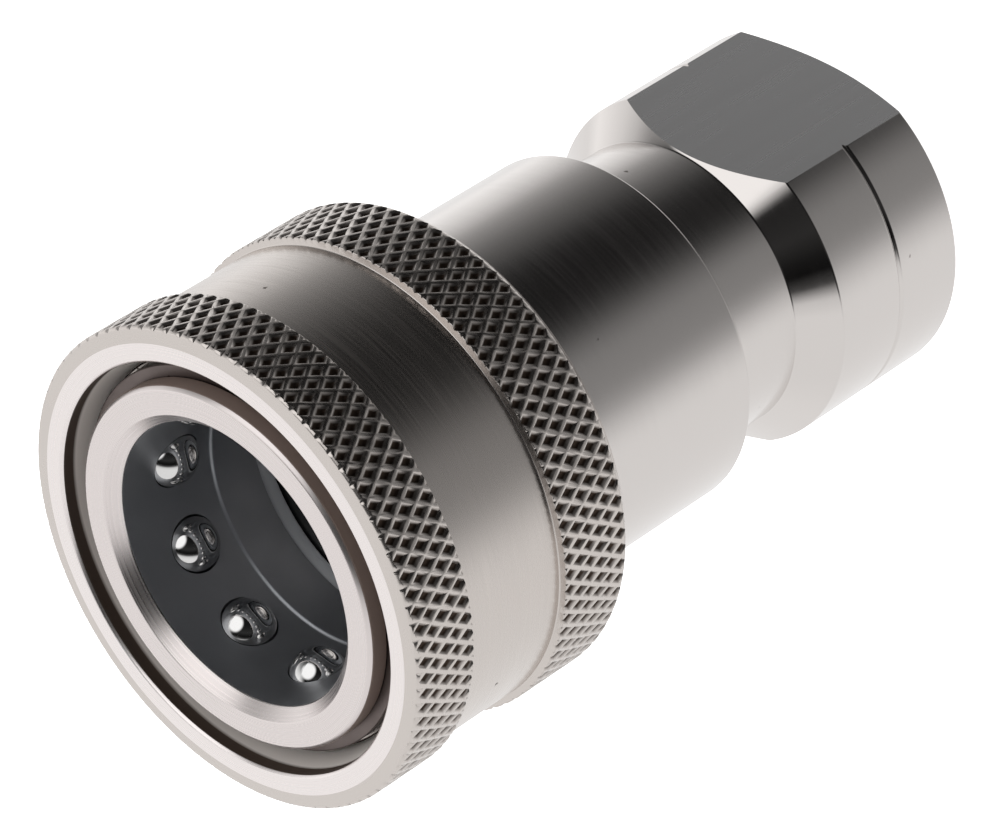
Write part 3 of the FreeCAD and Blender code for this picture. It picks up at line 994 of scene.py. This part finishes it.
class SpringPieces(bpy.types.Operator):
    """Winds the sleeve spring and the poppet spring"""

    bl_idname = "coupling.springs"
    bl_label = "Springs"

    def execute(self, context):
        steel = machined_steel(
            "drawn spring wire", colours().spring_steel, roughness=0.28, groove=0.4 * MM,
            streak=DRAWN_STREAK, bump=0.15)
        for node, wire, body, joint in (
                ("sleeve_spring", sizes().sleeve_wire, "sleeve_carrier", "sleeve_slide"),
                ("poppet_spring", sizes().poppet_wire, "coupler", "poppet_slide")):
            piece = coil(node + "_wound", node, wire)
            dress(piece, steel)
            mount(piece, body, "spring_steel", node)
            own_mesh(piece)
        return {"FINISHED"}


# Studio

# The camera, fitted to the photograph
CAMERA_PLACE = Vector((267.3, -239.75, 306.55)) * MM
CAMERA_RIGHT = Vector((0.02044, -0.73397, -0.67888))
CAMERA_UP = Vector((0.80005, 0.41923, -0.42916))
CAMERA_BACK = Vector((0.59959, -0.53436, 0.59578))
CAMERA_LENS = 205.14
SENSOR_WIDTH = 36
CLIP_NEAR, CLIP_FAR = 0.01, 20

# Up from the photographed table, away from the camera and to the right, in the part's frame
PHOTO_UP = Vector((1, 0, 0))
PHOTO_FRONT = Vector((0, 0.6677, -0.7444))
PHOTO_RIGHT = Vector((0, -0.7444, -0.6677))

# Light from each side as degrees above the table and radiance
FRONT_LIGHT = [
    (-15, 1.0), (-8, 1.2), (0, 1.07), (7.7, 0.93), (15.5, 0.71), (23, 0.39), (30, 0.27), (37, 0.155),
    (43, 0.10), (48, 0.035), (51, 0.011)]
RIGHT_LIGHT = [
    (-15, 0.95), (-10, 0.9), (-2, 0.71), (6, 0.44), (14, 0.31), (29, 0.28), (36, 0.19), (42, 0.078),
    (47, 0.018), (50, 0.007)]
BACK_LIGHT = [
    (-18, 0.95), (-10, 0.8), (-3, 0.07), (3.6, 0.006), (10, 0.013), (20, 0.035), (34, 0.02), (50, 0.01)]
BRIGHTEST = 1.3                   # radiance of a white ramp
LOWEST, HIGHEST = -0.35, 0.85     # sines of the elevations at a ramp's ends

# The sides with other light: light, direction, where it begins and where it is full
OTHER_SIDES = ((RIGHT_LIGHT, PHOTO_RIGHT, 0.2, 0.75), (BACK_LIGHT, -PHOTO_FRONT, 0.2, 0.65))

# The soft box: its direction, its soft edge and its full middle
BOX_TURN, BOX_RISE = math.radians(-122), math.radians(40)
BOX_EDGE, BOX_FULL = math.radians(33), math.radians(22)

FLOOR_SIZE, FLOOR_CELLS = 4, 4


def light_ramp(tree, height, stops):
    """Radiance of the surroundings by elevation, from (degrees, radiance) pairs."""
    share = add_node(tree, "ShaderNodeMapRange", {"Value": height, "From Min": LOWEST, "From Max": HIGHEST})
    ramp = add_node(tree, "ShaderNodeValToRGB", {"Fac": share.outputs["Result"]})
    elements = ramp.color_ramp.elements
    while len(elements) < len(stops):
        elements.new(0.5)
    for element, (degrees, radiance) in zip(elements, stops):
        element.position = (math.sin(math.radians(degrees)) - LOWEST) / (HIGHEST - LOWEST)
        element.color = (radiance / BRIGHTEST,) * 3 + (1,)
    return ramp.outputs["Color"]


def facing(tree, direction, axis, start, full):
    """A soft 0 to 1 share of how far a direction points along an axis."""
    dot = add_node(tree, "ShaderNodeVectorMath", {0: direction, 1: axis}, operation="DOT_PRODUCT")
    share = add_node(tree, "ShaderNodeMapRange", {
        "Value": dot.outputs["Value"], "From Min": start, "From Max": full}, interpolation_type="SMOOTHSTEP")
    return share.outputs["Result"]


def studio_light():
    """A white table below, greying to a dark room above, with one soft box behind the camera."""
    world = bpy.data.worlds.new("studio")
    bpy.context.scene.world = world
    world.use_nodes = True
    tree = world.node_tree
    background = tree.nodes["Background"]
    direction = add_node(tree, "ShaderNodeTexCoord").outputs["Generated"]
    height = add_node(tree, "ShaderNodeVectorMath", {0: direction, 1: PHOTO_UP}, operation="DOT_PRODUCT")
    height = height.outputs["Value"]
    room = light_ramp(tree, height, FRONT_LIGHT)
    for stops, axis, start, full in OTHER_SIDES:
        mixed = add_node(tree, "ShaderNodeMix", {
            "Factor": facing(tree, direction, axis, start, full), MIX_A: room,
            MIX_B: light_ramp(tree, height, stops)}, data_type="RGBA")
        room = mixed.outputs[MIX_RESULT]
    level = PHOTO_FRONT * math.cos(BOX_TURN) + PHOTO_RIGHT * math.sin(BOX_TURN)
    box_axis = PHOTO_UP * math.sin(BOX_RISE) + level * math.cos(BOX_RISE)
    box = facing(tree, direction, box_axis, math.cos(BOX_EDGE), math.cos(BOX_FULL))
    lit = add_node(tree, "ShaderNodeMix", {"Factor": box, MIX_A: room, MIX_B: WHITE}, data_type="RGBA")
    seen = add_node(tree, "ShaderNodeLightPath").outputs["Is Camera Ray"]
    plain = add_node(tree, "ShaderNodeMix", {
        "Factor": seen, MIX_A: lit.outputs[MIX_RESULT], MIX_B: WHITE}, data_type="RGBA")
    tree.links.new(plain.outputs[MIX_RESULT], background.inputs["Color"])
    background.inputs["Strength"].default_value = BRIGHTEST


def studio_floor():
    """A plain pale floor under the port face."""
    bpy.ops.object.select_all(action="DESELECT")
    bpy.ops.mesh.primitive_grid_add(
        x_subdivisions=FLOOR_CELLS, y_subdivisions=FLOOR_CELLS, size=FLOOR_SIZE, location=(0, 0, PORT_LOW.z))
    floor = bpy.context.object
    floor.name = "studio_floor"
    made = bpy.data.materials.new("white paper")
    made.use_nodes = True
    shader = made.node_tree.nodes["Principled BSDF"]
    shader.inputs["Base Color"].default_value = (*colours().floor, 1)
    shader.inputs["Emission Color"].default_value = WHITE
    shader.inputs["Emission Strength"].default_value = 1.0
    dress(floor, made)
    floor.visible_glossy = False
    floor.visible_shadow = False


def studio_camera():
    """The camera at the photograph's viewing angle."""
    data = bpy.data.cameras.new("camera")
    data.sensor_fit = "HORIZONTAL"
    data.sensor_width = SENSOR_WIDTH
    data.lens = CAMERA_LENS
    data.clip_start = CLIP_NEAR
    data.clip_end = CLIP_FAR
    camera = bpy.data.objects.new("camera", data)
    bpy.context.scene.collection.objects.link(camera)
    turn = Matrix((CAMERA_RIGHT, CAMERA_UP, CAMERA_BACK)).transposed()
    camera.matrix_world = Matrix.Translation(CAMERA_PLACE) @ turn.to_4x4()
    bpy.context.scene.camera = camera


class Studio(bpy.types.Operator):
    """Sets up the floor, the light and the camera"""

    bl_idname = "coupling.studio"
    bl_label = "Studio"

    def execute(self, context):
        studio_floor()
        studio_light()
        studio_camera()
        context.scene.view_settings.view_transform = "Standard"
        return {"FINISHED"}


class CouplingPanel(bpy.types.Panel):
    """Lists the coupling's pieces, sizes and colours"""

    bl_idname = "VIEW3D_PT_coupling"
    bl_label = "Quick coupling socket"
    bl_space_type = "VIEW_3D"
    bl_region_type = "UI"
    bl_category = "Coupling"

    def draw(self, context):
        for operator in PIECES:
            self.layout.operator(operator.bl_idname)
        for group in (context.scene.coupling_sizes, context.scene.coupling_colours):
            column = self.layout.column(align=True)
            for name in group.__annotations__:
                column.prop(group, name)


PIECES = (
    SleevePiece, BodyPiece, PortPiece, ValvePieces, RingPieces, SealPieces, BallPieces, SpringPieces, Studio)
CLASSES = (CouplingSizes, CouplingColours, *PIECES, CouplingPanel)


def register():
    for cls in CLASSES:
        bpy.utils.register_class(cls)
    bpy.types.Scene.coupling_sizes = bpy.props.PointerProperty(type=CouplingSizes)
    bpy.types.Scene.coupling_colours = bpy.props.PointerProperty(type=CouplingColours)


def unregister():
    del bpy.types.Scene.coupling_colours
    del bpy.types.Scene.coupling_sizes
    for cls in reversed(CLASSES):
        bpy.utils.unregister_class(cls)


def main():
    register()
    bpy.ops.coupling.locking_sleeve()
    bpy.ops.coupling.socket_body()
    bpy.ops.coupling.port_adapter()
    bpy.ops.coupling.poppet_valve()
    bpy.ops.coupling.rings()
    bpy.ops.coupling.seals()
    bpy.ops.coupling.balls()
    bpy.ops.coupling.springs()
    bpy.ops.coupling.studio()


if __name__ == "__main__":
    main()
